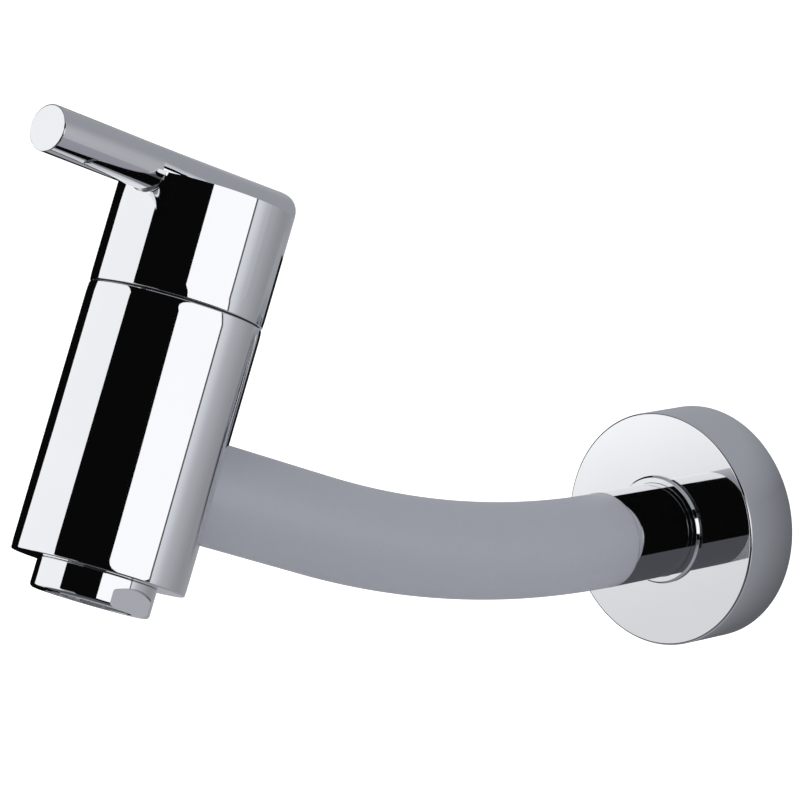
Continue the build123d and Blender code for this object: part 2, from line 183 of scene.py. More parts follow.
def give_kept_normals(mesh, least=0.3):
    """Sets the stored normals again; the walls of a cut have theirs turned round.

    A face keeps its own normal where the cosine between the two is less than least."""
    kept = mesh.attributes["kept_normal"].data
    mesh.polygons.foreach_set("use_smooth", [True] * len(mesh.polygons))
    normals = []
    for face in mesh.polygons:
        for corner in face.loop_indices:
            normal = Vector(kept[corner].vector)
            facing = normal.dot(face.normal)
            normals.append(normal * math.copysign(1, facing) if abs(facing) > least else face.normal)
    mesh.attributes.remove(mesh.attributes["kept_normal"])
    mesh.normals_split_custom_set(normals)


def cut(piece, *cutters):
    """Takes the cutters' shapes out of the piece, and keeps the normals of all their surfaces."""
    keep_normals(piece.data)
    for cutter in cutters:
        keep_normals(cutter.data)
        modifier = piece.modifiers.new("cut", "BOOLEAN")
        modifier.operation = "DIFFERENCE"
        modifier.solver = "EXACT"
        modifier.object = cutter
        settled(piece)
        bpy.data.objects.remove(cutter)
    give_kept_normals(piece.data)
    return piece


def cad_copy(name, part):
    """A piece with a CAD part's own surface, its loose triangles merged."""
    mesh = frame["nodes"][part].data.copy()
    keep_normals(mesh)
    work = bmesh.new()
    work.from_mesh(mesh)
    bmesh.ops.remove_doubles(work, verts=work.verts, dist=1e-7)
    work.to_mesh(mesh)
    work.free()
    give_kept_normals(mesh)
    piece = new_piece(name, [], [])
    piece.data = mesh
    return piece


def joined(piece, *others):
    """One piece from several closed ones that touch or overlap."""
    meshes = [part.data for part in (piece, *others)]
    work = bmesh.new()
    for mesh in meshes:
        keep_normals(mesh)
        work.from_mesh(mesh)
    work.to_mesh(piece.data)
    work.free()
    for other in others:
        bpy.data.objects.remove(other)
    give_kept_normals(piece.data)
    return piece


# Nodes

MATHS = "ShaderNodeMath"
VECTOR_MATHS = "ShaderNodeVectorMath"


def node(tree, kind, inputs=(), output=None, **settings):
    """Adds a node with its settings, and returns it, or only its output of that name or number.

    Inputs are values, or the sockets that feed them, in the order of the node's inputs or by their names."""
    made = tree.nodes.new(kind)
    for name, value in settings.items():
        setattr(made, name, value)
    for name, value in inputs.items() if isinstance(inputs, dict) else enumerate(inputs):
        socket = made.inputs[name]
        if isinstance(value, bpy.types.NodeSocket):
            tree.links.new(value, socket)
        else:
            socket.default_value = value
    return made if output is None else made.outputs[output]


# Geometry Nodes


def new_tree(name, inputs):
    """A geometry tree with named inputs, whose last one is the material; returns it with its input sockets."""
    tree = bpy.data.node_groups.new(name, "GeometryNodeTree")
    for label, kind, default in inputs + (("Material", "NodeSocketMaterial", None),):
        socket = tree.interface.new_socket(label, in_out="INPUT", socket_type=kind)
        if default is not None:
            socket.default_value = default
    tree.interface.new_socket("Geometry", in_out="OUTPUT", socket_type="NodeSocketGeometry")
    return tree, node(tree, "NodeGroupInput").outputs


def end_tree(tree, given, geometry):
    """Ends a geometry tree in real geometry with its material."""
    real = node(tree, "GeometryNodeRealizeInstances", {"Geometry": geometry}, "Geometry")
    dressed = node(tree, "GeometryNodeSetMaterial", {"Geometry": real, "Material": given["Material"]}, "Geometry")
    node(tree, "NodeGroupOutput", {"Geometry": dressed})
    return tree


def grown(piece, tree, material, values):
    """The plain mesh that a geometry tree makes of a piece with these input values."""
    modifier = piece.modifiers.new(tree.name, "NODES")
    modifier.node_group = tree
    values = {**values, "Material": material}
    for item in tree.interface.items_tree:
        if item.in_out == "INPUT" and item.socket_type != "NodeSocketGeometry":
            modifier[item.identifier] = values[item.name] if item.name in values else item.default_value
    return settled(piece)


def arm_tree():
    """A round tube that bends evenly and then runs straight: a straight tube moved onto that line."""
    lengths = ("Outer radius", "Bore radius", "Start", "Bend radius", "Straight run")
    tree, given = new_tree(
        "bent_tube",
        tuple((label, "NodeSocketFloat", 0.01) for label in lengths) + (
            ("Bend angle", "NodeSocketFloat", 0.3), ("Around", "NodeSocketInt", 160), ("Along", "NodeSocketInt", 72),
        ),
    )
    bend_radius = given["Bend radius"]
    bend = node(tree, MATHS, (bend_radius, given["Bend angle"]), 0, operation="MULTIPLY")
    run = node(tree, MATHS, (bend, given["Straight run"]), 0, operation="ADD")
    wall = node(tree, MATHS, (given["Outer radius"], given["Bore radius"]), 0, operation="SUBTRACT")
    middle = node(tree, MATHS, (wall, 0.5, given["Bore radius"]), 0, operation="MULTIPLY_ADD")

    # The wall's outline: its second and fourth sides run along the tube, and only these are divided
    outline = node(
        tree, "GeometryNodeCurvePrimitiveQuadrilateral", {"Width": wall, "Height": run}, 0, mode="RECTANGLE"
    )
    side = node(tree, MATHS, (node(tree, "GeometryNodeInputIndex", output=0), 2), 0, operation="MODULO")
    cuts = node(tree, MATHS, (side, given["Along"]), 0, operation="MULTIPLY")
    outline = node(tree, "GeometryNodeSubdivideCurve", {"Curve": outline, "Cuts": cuts}, 0)
    circle = node(tree, "GeometryNodeCurvePrimitiveCircle", {"Resolution": given["Around"], "Radius": middle}, 0)
    tube = node(tree, "GeometryNodeCurveToMesh", {"Curve": circle, "Profile Curve": outline}, 0)

    # How far along the tube a point is, split into its angle in the bend and its way past the bend
    at = node(tree, "ShaderNodeSeparateXYZ", {"Vector": node(tree, "GeometryNodeInputPosition", output=0)}).outputs
    along = node(tree, MATHS, (run, 0.5, at["Z"]), 0, operation="MULTIPLY_ADD")
    in_bend = node(tree, MATHS, (along, bend), 0, operation="MINIMUM")
    angle = node(tree, MATHS, (in_bend, bend_radius), 0, operation="DIVIDE")
    past_bend = node(tree, MATHS, (along, bend), 0, operation="SUBTRACT")
    straight = node(tree, MATHS, (past_bend, 0), 0, operation="MAXIMUM")
    sine = node(tree, MATHS, (angle,), 0, operation="SINE")
    cosine = node(tree, MATHS, (angle,), 0, operation="COSINE")

    # The bend's centre is above the tube's start, so a point swings round it at the radius less its own Y
    swing = node(tree, MATHS, (bend_radius, at["Y"]), 0, operation="SUBTRACT")
    out = node(tree, MATHS, (straight, cosine, given["Start"]), 0, operation="MULTIPLY_ADD")
    out = node(tree, MATHS, (swing, sine, out), 0, operation="MULTIPLY_ADD")
    from_wall = node(tree, MATHS, (out, -1), 0, operation="MULTIPLY")
    centre_height = node(tree, MATHS, (straight, sine, bend_radius), 0, operation="MULTIPLY_ADD")
    below_centre = node(tree, MATHS, (swing, cosine), 0, operation="MULTIPLY")
    rise = node(tree, MATHS, (centre_height, below_centre), 0, operation="SUBTRACT")
    moved = node(tree, "ShaderNodeCombineXYZ", (at["X"], from_wall, rise), 0)
    return end_tree(tree, given, node(tree, "GeometryNodeSetPosition", {"Geometry": tube, "Position": moved}, 0))


def thread_tree():
    """Presses a round thread's groove into the outer wall of a piece that is turned about Y."""
    lengths = ("Radius", "Pitch", "Depth", "Shoulder")
    tree, given = new_tree(
        "pipe_thread",
        (("Piece", "NodeSocketGeometry", None),) + tuple((label, "NodeSocketFloat", 0.01) for label in lengths),
    )
    position = node(tree, "GeometryNodeInputPosition", output=0)
    at = node(tree, "ShaderNodeSeparateXYZ", {"Vector": position}).outputs
    spoke = node(tree, VECTOR_MATHS, (position, (1, 0, 1)), 0, operation="MULTIPLY")
    radius = node(tree, VECTOR_MATHS, (spoke,), "Value", operation="LENGTH")

    # The groove's section: how far a point is from the crest, with a tenth of the way flat at crest and root
    angle = node(tree, MATHS, (at["X"], at["Z"]), 0, operation="ARCTAN2")
    turns = node(tree, MATHS, (angle, 2 * math.pi), 0, operation="DIVIDE")
    pitches = node(tree, MATHS, (at["Y"], given["Pitch"]), 0, operation="DIVIDE")
    thread = node(tree, MATHS, (pitches, turns), 0, operation="SUBTRACT")
    part = node(tree, MATHS, (thread,), 0, operation="FRACT")
    slope = node(tree, MATHS, (part, 2, -1), 0, operation="MULTIPLY_ADD")
    slope = node(tree, MATHS, (slope,), 0, operation="ABSOLUTE")
    share = node(tree, "ShaderNodeMapRange", {"Value": slope, "From Min": 0.1, "From Max": 0.9}, "Result")

    # It runs out over one pitch at the shoulder
    full = node(tree, MATHS, (given["Shoulder"], given["Pitch"]), 0, operation="ADD")
    run_out = node(
        tree, "ShaderNodeMapRange", {"Value": at["Y"], "From Min": given["Shoulder"], "From Max": full}, "Result"
    )
    depth = node(tree, MATHS, (given["Depth"], share), 0, operation="MULTIPLY")
    depth = node(tree, MATHS, (depth, run_out), 0, operation="MULTIPLY")
    pressed_to = node(tree, MATHS, (given["Radius"], depth), 0, operation="SUBTRACT")
    pressed_to = node(tree, MATHS, (radius, pressed_to), 0, operation="MINIMUM")
    scale = node(tree, MATHS, (pressed_to, radius), 0, operation="DIVIDE")
    scales = node(tree, "ShaderNodeCombineXYZ", (scale, 1, scale), 0)
    moved = node(tree, VECTOR_MATHS, (position, scales), 0, operation="MULTIPLY")

    root = node(tree, MATHS, (given["Radius"], given["Depth"]), 0, operation="SUBTRACT")
    outside = node(tree, MATHS, (radius, root), 0, operation="GREATER_THAN")
    past_shoulder = node(tree, MATHS, (at["Y"], given["Shoulder"]), 0, operation="GREATER_THAN")
    threaded = node(tree, MATHS, (outside, past_shoulder), 0, operation="MULTIPLY")
    pressed = node(
        tree, "GeometryNodeSetPosition", {"Geometry": given["Piece"], "Selection": threaded, "Position": moved}, 0
    )
    return end_tree(tree, given, pressed)


# Materials


def finish_material(name, **uniform):
    """A new material with a Principled shader whose own sockets hold the uniform values."""
    material = bpy.data.materials.new(name)
    material.use_nodes = True
    tree = material.node_tree
    shader = next(n for n in tree.nodes if n.type == "BSDF_PRINCIPLED")
    for socket, value in uniform.items():
        shader.inputs[socket].default_value = value
    return material, tree, shader, node(tree, "ShaderNodeTexCoord", output="Object")


def patchy(tree, socket, coords, low, high, size_mm, detail=2.0):
    """Lets a socket wander between two numbers or colours, in soft random patches size_mm across."""
    pattern = {"Vector": coords, "Scale": 1 / (size_mm * MM), "Detail": detail}
    patches = node(tree, "ShaderNodeTexNoise", pattern, "Fac")
    kind = "FLOAT" if isinstance(low, float) else "RGBA"
    mixed = node(tree, "ShaderNodeMix", {"Factor": patches, "A": low, "B": high}, "Result", data_type=kind)
    tree.links.new(mixed, socket)


def grained(tree, shader, coords, size_mm, depth_mm):
    """A fine random relief."""
    grain = node(tree, "ShaderNodeTexNoise", {"Vector": coords, "Scale": 1 / (size_mm * MM)}, "Fac")
    relief = node(tree, "ShaderNodeBump", {"Height": grain, "Distance": depth_mm * MM}, "Normal")
    tree.links.new(relief, shader.inputs["Normal"])


def polished_chrome():
    # Bright chrome plated over machine-polished brass: a cool mirror, with haze only in wiping marks
    material, tree, shader, coords = finish_material("polished_chrome_plate", Metallic=1.0)
    plate = (*bpy.context.scene.basin_tap.chrome, 1.0)
    patchy(tree, shader.inputs["Base Color"], coords, plate, [0.965 * part for part in plate], 18.0)
    patchy(tree, shader.inputs["Roughness"], coords, 0.012, 0.045, 6.0, 5.0)
    return material


def satin_grey():
    # Grey satin coat over the arm: even, soft highlights and a fine orange peel
    material, tree, shader, coords = finish_material("satin_grey_coat", Metallic=0.35)
    coat = (*bpy.context.scene.basin_tap.coat, 1.0)
    patchy(tree, shader.inputs["Base Color"], coords, coat, [1.06 * part for part in coat], 1.5, 3.0)
    patchy(tree, shader.inputs["Roughness"], coords, 0.36, 0.44, 2.5, 3.0)
    grained(tree, shader, coords, 0.5, 0.004)
    return material


def turned_brass():
    # Turned brass: warm yellow, with shallow tool rings
    material, tree, shader, coords = finish_material("turned_brass", Metallic=1.0)
    patchy(tree, shader.inputs["Base Color"], coords, linear("C9A45C"), linear("B98F49"), 3.0, 4.0)
    patchy(tree, shader.inputs["Roughness"], coords, 0.22, 0.38, 1.0, 4.0)
    # Rings 1.885 mm apart, coarse enough to show; at scale 1, a wave texture's waves come 2 pi / 20 apart
    scale = 2 * math.pi / 20 / (1.885 * MM)
    rings = node(
        tree, "ShaderNodeTexWave", {"Vector": coords, "Scale": scale, "Distortion": 0.4}, "Fac", bands_direction="Y"
    )
    relief = node(tree, "ShaderNodeBump", {"Height": rings, "Distance": 0.006 * MM}, "Normal")
    tree.links.new(relief, shader.inputs["Normal"])
    return material


def moulded(name, dark, light, roughness, grain_mm=0.4, depth_mm=0.004, ior=1.5):
    """A moulded or pressed material: two near shades, even roughness and a fine grain."""
    material, tree, shader, coords = finish_material(name, IOR=ior)
    patchy(tree, shader.inputs["Base Color"], coords, linear(dark), linear(light), 3.0, 3.0)
    patchy(tree, shader.inputs["Roughness"], coords, roughness * 0.9, roughness * 1.1, 1.2)
    grained(tree, shader, coords, grain_mm, depth_mm)
    return material


def stainless():
    # Stainless steel, blanked and drawn: grey metal with short streaks
    material, tree, shader, coords = finish_material("drawn_stainless_steel", Metallic=1.0)
    patchy(tree, shader.inputs["Base Color"], coords, linear("B4B5B8"), linear("C2C3C5"), 1.0, 3.0)
    drawn = node(tree, "ShaderNodeMapping", {"Vector": coords, "Scale": (1, 1, 0.15)}, 0)
    patchy(tree, shader.inputs["Roughness"], drawn, 0.22, 0.4, 0.5, 3.0)
    return material


MATERIALS = {}


def make_materials():
    """Makes the finish of each material slot in the record."""
    MATERIALS.update(
        polished_chrome=polished_chrome(),
        satin_grey_coat=satin_grey(),
        brass=turned_brass(),
        # Nitrile rubber, pressed: near black, with a dull sheen
        seal_rubber=moulded("pressed_nitrile_rubber", "161616", "1E1E1F", 0.55, 0.3, 0.006),
        # Alumina ceramic, lapped flat: ivory white, with a glassy face
        ceramic=moulded("lapped_alumina_ceramic", "E9E6DC", "EFEDE5", 0.12, 0.2, 0.001, 1.77),
        # Acetal plastic, moulded: black, with a low sheen
        dark_plastic=moulded("moulded_black_acetal", "17181A", "1F2022", 0.42),
        # Acetal plastic, moulded: natural white
        white_plastic=moulded("moulded_white_acetal", "DEDDD8", "E6E5E1", 0.38),
        # Acetal plastic, moulded: the grey of a flow straightener
        grey_plastic=moulded("moulded_grey_acetal", "8A8D90", "939699", 0.4),
        stainless_steel=stainless(),
    )


def dress(piece, slot):
    """Gives a piece the material of its slot in the record."""
    piece.data.materials.clear()
    piece.data.materials.append(MATERIALS[slot])


def length(name, description, millimetres):
    """A setting for a length, which Blender keeps in metres."""
    return bpy.props.FloatProperty(
        name=name, description=description, default=millimetres * MM, min=0.01 * MM, unit="LENGTH", precision=5
    )


def colour(name, description, hex_colour):
    """A setting for a colour."""
    return bpy.props.FloatVectorProperty(
        name=name, description=description, default=linear(hex_colour)[:3], min=0, max=1, subtype="COLOR"
    )


class TapSettings(bpy.types.PropertyGroup):
    flange_radius: length("Flange radius", "Radius of the round flange on the wall", 30.0)
    flange_depth: length("Flange depth", "How far the flange stands out from the wall", 17.0)
    neck_radius: length("Neck radius", "Radius of the polished sleeve at the flange", 12.1)
    arm_radius: length("Arm radius", "Radius of the grey arm", 12.0)
    body_radius: length("Body radius", "Radius of the body and the lever's cap", 20.25)
    outlet_radius: length("Outlet radius", "Radius of the ring at the outlet", 13.9)
    thread_pitch: length("Thread pitch", "Distance from thread to thread at the inlet", 1.814)
    thread_depth: length("Thread depth", "Depth of the inlet's thread", 1.162)
    chrome: colour("Chrome", "Colour of the polished plating", "E7E8EA")
    coat: colour("Coat", "Colour of the arm's satin coat", "9DA0A8")


# Stage


def studio_card(name, radius, rows, level, tint="FFFFFF", steps=24):
    """A card that curves round the body's axis and shows only in reflections.

    Rows are its height along the axis, and its start and end in degrees round the axis from the front."""
    points, faces = [], []
    for height, start, end in rows:
        for i in range(steps + 1):
            angle = math.radians(start + (end - start) * i / steps)
            out = ACROSS * math.sin(angle) - BODY_BACK * math.cos(angle)
            points.append(BODY_CENTRE + radius * out + height * BODY_AXIS)
    for row in range(len(rows) - 1):
        for i in range(steps):
            k = row * (steps + 1) + i
            faces.append((k, k + 1, k + steps + 2, k + steps + 1))
    return reflected_only(new_piece(name, points, faces), level, tint)


def reflected_only(card, level, tint="FFFFFF"):
    """Lights a card and hides it from all but reflections. Level is a number, or a function that makes its nodes."""
    material = bpy.data.materials.new(card.name)
    material.use_nodes = True
    tree = material.node_tree
    tree.nodes.clear()
    if callable(level):
        level = level(tree, node(tree, "ShaderNodeTexCoord", output="Object"))
    glow = node(tree, "ShaderNodeEmission", {"Color": linear(tint), "Strength": level}, 0)
    node(tree, "ShaderNodeOutputMaterial", {"Surface": glow})
    card.data.materials.append(material)
    card.visible_camera = False
    card.visible_diffuse = False
    card.visible_shadow = False
    card.visible_transmission = False
    return card


def ramp(tree, value, stops):
    """Levels that change evenly from stop to stop of a value."""
    start, end = stops[0][0], stops[-1][0]
    share = node(tree, "ShaderNodeMapRange", {"Value": value, "From Min": start, "From Max": end}, "Result")
    made = node(tree, "ShaderNodeValToRGB", {"Fac": share})
    elements = made.color_ramp.elements
    while len(elements) < len(stops):
        elements.new(0.5)
    for element, (at, level) in zip(elements, stops):
        element.position = (at - start) / (end - start)
        element.color = (level, level, level, 1.0)
    return made.outputs["Color"]


def even_beyond(tree, levels, value, start, end, even):
    """Levels that fade into one even level between the start and the end of a value."""
    past = node(tree, "ShaderNodeMapRange", {"Value": value, "From Min": start, "From Max": end}, "Result")
    mixed = {"Factor": past, "A": levels, "B": (even, even, even, 1.0)}
    return node(tree, "ShaderNodeMix", mixed, "Result", data_type="RGBA")


def body_place(tree, coords):
    """Across, back and along the body's axis from its centre."""
    moved = node(
        tree,
        "ShaderNodeMapping",
        {"Vector": coords, "Location": BODY_CENTRE, "Rotation": (-BODY_TILT, 0, 0)},
        "Vector",
        vector_type="TEXTURE",
    )
    return node(tree, "ShaderNodeSeparateXYZ", {"Vector": moved}).outputs


def degrees_round(tree, coords):
    """Degrees round the body's axis from its front."""
    at = body_place(tree, coords)
    # This arctangent is 0 at the back, so a half turn is added
    left = node(tree, MATHS, (at["X"], -1), 0, operation="MULTIPLY")
    from_back = node(tree, MATHS, (left, at["Y"]), 0, operation="ARCTAN2")
    return node(tree, MATHS, (from_back, 180 / math.pi, 180), 0, operation="MULTIPLY_ADD")


def seen_by_eye(tree, level):
    """The level for rays that reach the camera straight, by a mirror or through glass, and 0 for the others."""
    path = node(tree, "ShaderNodeLightPath").outputs
    seen = path["Is Camera Ray"]
    for way in ("Is Glossy Ray", "Is Transmission Ray"):
        seen = node(tree, MATHS, (seen, path[way]), 0, operation="ADD", use_clamp=True)
    return node(tree, MATHS, (seen, level), 0, operation="MULTIPLY")


class TAP_OT_stage(bpy.types.Operator):
    """Camera, lamps, floor and the cards that the polished metal mirrors"""

    bl_idname = "basin_tap.stage"
    bl_label = "Studio"

    def execute(self, context):
        context.scene.view_settings.view_transform = "Standard"
        self.camera(context.scene)
        self.room(context.scene)
        self.lamps(context.scene)
        self.cards()
        return {"FINISHED"}

    @staticmethod
    def camera(scene):
        """The photo's camera, as it was fitted to the tap's edges."""
        camera = bpy.data.cameras.new("camera")
        camera.lens = 207.31
        camera.sensor_width = 36.0
        camera.clip_end = 100.0
        eye = bpy.data.objects.new("camera", camera)
        right = Vector((0.7388080616576415, 0.6730158294520014, 0.03481869234639767))
        up = Vector((-0.14030795958473846, 0.10307889020411594, 0.9847275861229111))
        back = Vector((0.6591481809933529, -0.732410018842808, 0.1705849928681644))
        turn = Matrix((right, up, back)).transposed().to_4x4()
        eye.matrix_world = Matrix.Translation((0.72331454, -0.92132903, 0.23129865)) @ turn
        scene.collection.objects.link(eye)
        scene.camera = eye

    @staticmethod
    def room(scene):
        """A white world, which lights less than it shows, and a pale floor."""
        world = bpy.data.worlds.new("studio")
        scene.world = world
        world.use_nodes = True
        tree = world.node_tree
        tree.nodes.clear()
        lit, shown = 0.72, 1.0
        seen = seen_by_eye(tree, 1.0)
        level = node(tree, "ShaderNodeMapRange", {"Value": seen, "To Min": lit, "To Max": shown}, "Result")
        light = node(tree, "ShaderNodeBackground", {"Color": linear("FFFFFF"), "Strength": level}, 0)
        node(tree, "ShaderNodeOutputWorld", {"Surface": light})

        reach, height = 9.0, -0.35
        floor = new_piece("floor", [(x * reach, y * reach, height) for x, y in SQUARE], [(0, 1, 2, 3)])
        # Pale paper, matt, which glows a little for the eye so that it ends up white
        material, tree, shader, coords = finish_material("pale_paper_floor", Roughness=0.9)
        patchy(tree, shader.inputs["Base Color"], coords, linear("FAFAFA"), linear("FCFCFC"), 40.0)
        tree.links.new(seen_by_eye(tree, 0.45), shader.inputs["Emission Strength"])
        floor.data.materials.append(material)

    @staticmethod
    def lamps(scene):
        """Three square lamps, which don't show in reflections."""
        target = Vector((0, -0.15, 0.04))
        for name, spot, size, power in (
            ("left_lamp", (-1.3, -1.3, 0.9), 1.0, 14.0),
            ("right_lamp", (1.7, 0.1, 0.8), 0.9, 9.0),
            ("top_lamp", (0.0, -0.3, 1.8), 1.4, 12.0),
        ):
            lamp = bpy.data.lights.new(name, "AREA")
            lamp.shape = "SQUARE"
            lamp.size = size
            lamp.energy = power
            holder = bpy.data.objects.new(name, lamp)
            aim = (target - Vector(spot)).to_track_quat("-Z", "Y").to_matrix().to_4x4()
            holder.matrix_world = Matrix.Translation(spot) @ aim
            holder.visible_glossy = False
            scene.collection.objects.link(holder)

    def cards(self):
        """What the polished metal mirrors: two softboxes, black flags, and a grey wall, ceiling and table."""
        near, middle, far = 0.35, 0.8, 1.25
        flags, before_wall = near + 0.01, middle - 0.01
        low, wall_end, wall_top = -0.383, 221.5, 0.9
        black, grey, cool = 0.003, 0.41, "EEF2FB"
        studio_card(
            "left_softbox",
            near,
            [
                (-0.32, -92, -10), (-0.05, -88, -16), (-0.003, -86.3, -16.4), (0.03, -83.2, -16.4),
                (0.1, -83.2, -16.4), (0.115, -80, -20), (0.125, -72, -26), (0.131, -62, -36),
            ],
            self.softbox,
            "FBFCFD",
        )
        studio_card(
            "right_softbox",
            far,
            [
                (-0.15, 75, 95), (-0.13, 66, 103), (-0.1, 60, 108), (-0.05, 56.5, 114), (0, 55, 118),
                (0.06, 54.2, 118), (0.1, 53.1, 118), (0.15, 50.8, 118), (0.2, 49.1, 118), (0.25, 48.2, 118),
                (0.3, 49, 118), (0.34, 52, 112), (0.37, 57, 107), (0.395, 65, 101), (0.405, 76, 93),
            ],
            1.22,
            "FDFDFE",
            steps=48,
        )
        studio_card(
            "softbox_edge",
            before_wall,
            [(-0.1, 112, 114.5), (0.03, 111.5, 114), (0.1, 110.2, 112.7), (0.165, 108.2, 110.7), (0.3, 104, 106.5)],
            0.12,
        )
        studio_card("front_flag", far + 0.05, [(-0.45, -100, 122), (0.85, -100, 122)], black)
        studio_card("low_flag_left", flags, [(-0.26, -100, -14), (-0.06, -100, -14)], black)
        studio_card("low_window", flags, [(low, -14, 14), (-0.09, -14, 14)], 0.38, cool)
        studio_card(
            "low_flag_right", flags, [(low, 14, 108), (-0.12, 14, 108), (-0.115, 14, 62), (-0.06, 14, 62)], black
        )
        studio_card("left_flag", flags, [(low, -134, -83.2), (0.25, -134, -83.2)], black)
        studio_card(
            "grey_wall",
            middle,
            [
                (-0.9, 114.4, 227), (-0.01, 114.1, 227), (0, 114.1, wall_end), (0.03, 113.9, wall_end),
                (0.1, 112.6, wall_end), (0.165, 110.6, wall_end), (0.3, 106.4, wall_end), (0.45, 95, wall_end),
                (0.7, 60, wall_end),
            ],
            self.wall,
            "F4F6FD",
            steps=48,
        )
        studio_card("upper_wall", middle, [(0.7, 60, wall_end), (wall_top, 60, wall_end)], grey, cool)
        studio_card("left_wall", middle, [(0.1, wall_end, 262), (wall_top, wall_end, 262)], 0.5, cool)
        studio_card(
            "dark_edge", before_wall, [(0.036, 204, wall_end), (0.07, 196, wall_end), (0.155, 196, wall_end)], 0.01
        )

        corners = [(x * 1.5, y * 1.5) for x, y in SQUARE]
        above = BODY_CENTRE + 0.87 * BODY_AXIS
        ceiling = new_piece("grey_ceiling", [above + x * ACROSS + y * BODY_BACK for x, y in corners], [(0, 1, 2, 3)])
        reflected_only(ceiling, grey, cool)
        table = new_piece("grey_table", [(x, y - 0.2, -0.33) for x, y in corners], [(0, 1, 2, 3)])
        reflected_only(table, self.table, "F2F2FF")

        # A wall close behind the flange with a painted shadow of the flange: a card seen only in reflections, whose
        # glow is darker near the flange
        inner, outer, around = 0.0305, 0.0483, 96
        spins = [2 * math.pi * i / around for i in range(around)]
        shade = new_piece(
            "painted_shadow_wall",
            [(r * math.cos(a), 0.003, r * math.sin(a)) for r in (inner, outer) for a in spins],
            [(i, (i + 1) % around, around + (i + 1) % around, around + i) for i in range(around)],
        )
        reflected_only(shade, self.shade, cool)

    @staticmethod
    def softbox(tree, coords):
        """Brightest a little below its middle, and dimmer at its lower end."""
        up = body_place(tree, coords)["Z"]
        return ramp(tree, up, [(-0.24, 0.86), (-0.19, 0.98), (-0.15, 1.22), (-0.1, 1.11), (0.1, 1.11)])

    @staticmethod
    def table(tree, coords):
        """Dark in front of the tap and lighter towards the wall."""
        at = node(tree, "ShaderNodeSeparateXYZ", {"Vector": coords}).outputs
        return ramp(tree, at["Y"], [(-0.25, 0.11), (-0.2, 0.14), (-0.16, 0.28), (-0.09, 0.36), (0.4, 0.42)])

    @staticmethod
    def wall(tree, coords):
        """Bright at the right and grey behind, and an even grey higher up."""
        around = ramp(
            tree,
            degrees_round(tree, coords),
            [
                (60, 0.86), (115, 0.85), (121, 0.75), (127, 0.61), (133, 0.53), (141, 0.48), (154, 0.4),
                (166, 0.35), (180, 0.36), (222, 0.44),
            ],
        )
        return even_beyond(tree, around, body_place(tree, coords)["Z"], 0.35, 0.7, 0.41)

    @staticmethod
    def shade(tree, coords):
        """Painted shadow of the flange on a wall: dark beside the flange and lighter away from it and above it."""
        at = node(tree, "ShaderNodeSeparateXYZ", {"Vector": coords}).outputs
        spoke = node(tree, VECTOR_MATHS, (coords, (1, 0, 1), (0, 0, 0.003)), 0, operation="MULTIPLY_ADD")
        away = node(tree, VECTOR_MATHS, (spoke,), "Value", operation="LENGTH")
        shaded = ramp(tree, away, [(0.0305, 0.15), (0.034, 0.2), (0.041, 0.31), (0.05, 0.4)])
        return even_beyond(tree, shaded, at["Z"], 0.016, 0.032, 0.42)


class TAP_OT_flange(bpy.types.Operator):
    """The round flange on the wall, and the ring round the neck in it"""

    bl_idname = "basin_tap.flange"
    bl_label = "Flange"

    def execute(self, context):
        radius, face = context.scene.basin_tap.flange_radius / MM, context.scene.basin_tap.flange_depth / MM
        rim, seat, bore, groove = radius - 2.5, 13.1, 12.25, 13.9
        flange = turned(
            "flange",
            WALL_FRAME,
            [
                (rim, 0, 0.2), (radius, 0, 0.2), (radius, face, 0.6), (seat, face, 0.1), (seat, face - 0.6, 0),
                (bore, face - 0.6, 0.1), (bore, face - 1.5, 0), (groove, face - 1.5, 0), (groove, face - 3.4, 0),
                (bore, face - 3.4, 0), (bore, face - 4.2, 0.1), (14.7, face - 4.2, 0.1), (14.7, face - 1.5, 0),
                (rim, face - 1.5, 0),
            ],
            around=256,
        )
        finished(flange, "tap", "polished_chrome", "wall_flange")
        collar = turned(
            "neck_ring",
            WALL_FRAME,
            [
                (12.15, face - 0.6, 0), (13.05, face - 0.6, 0.05), (13.05, face, 0), (13.9, face, 0.05),
                (13.9, face + 0.55, 0.08), (13.42, face + 1.3, 0.08), (12.15, face + 1.3, 0.05),
            ],
        )
        finished(collar, "tap", "polished_chrome", "flange_collar")
        return {"FINISHED"}


class TAP_OT_neck(bpy.types.Operator):
    """The polished sleeve between the flange and the grey arm"""

    bl_idname = "basin_tap.neck"
    bl_label = "Neck"

    def execute(self, context):
        neck = context.scene.basin_tap.neck_radius / MM
        start, lip, lip_end = 12, neck - 0.08, 39.4
        sleeve = turned(
            "neck",
            WALL_FRAME,
            [
                (PIPE_BORE, start, 0.1), (neck, start, 0.1), (neck, lip_end, 0.03), (lip, lip_end, 0.02),
                (lip, NECK_END, 0), (PIPE_BORE, NECK_END, 0),
            ],
        )
        finished(sleeve, "tap", "polished_chrome", "neck_sleeve")
        return {"FINISHED"}


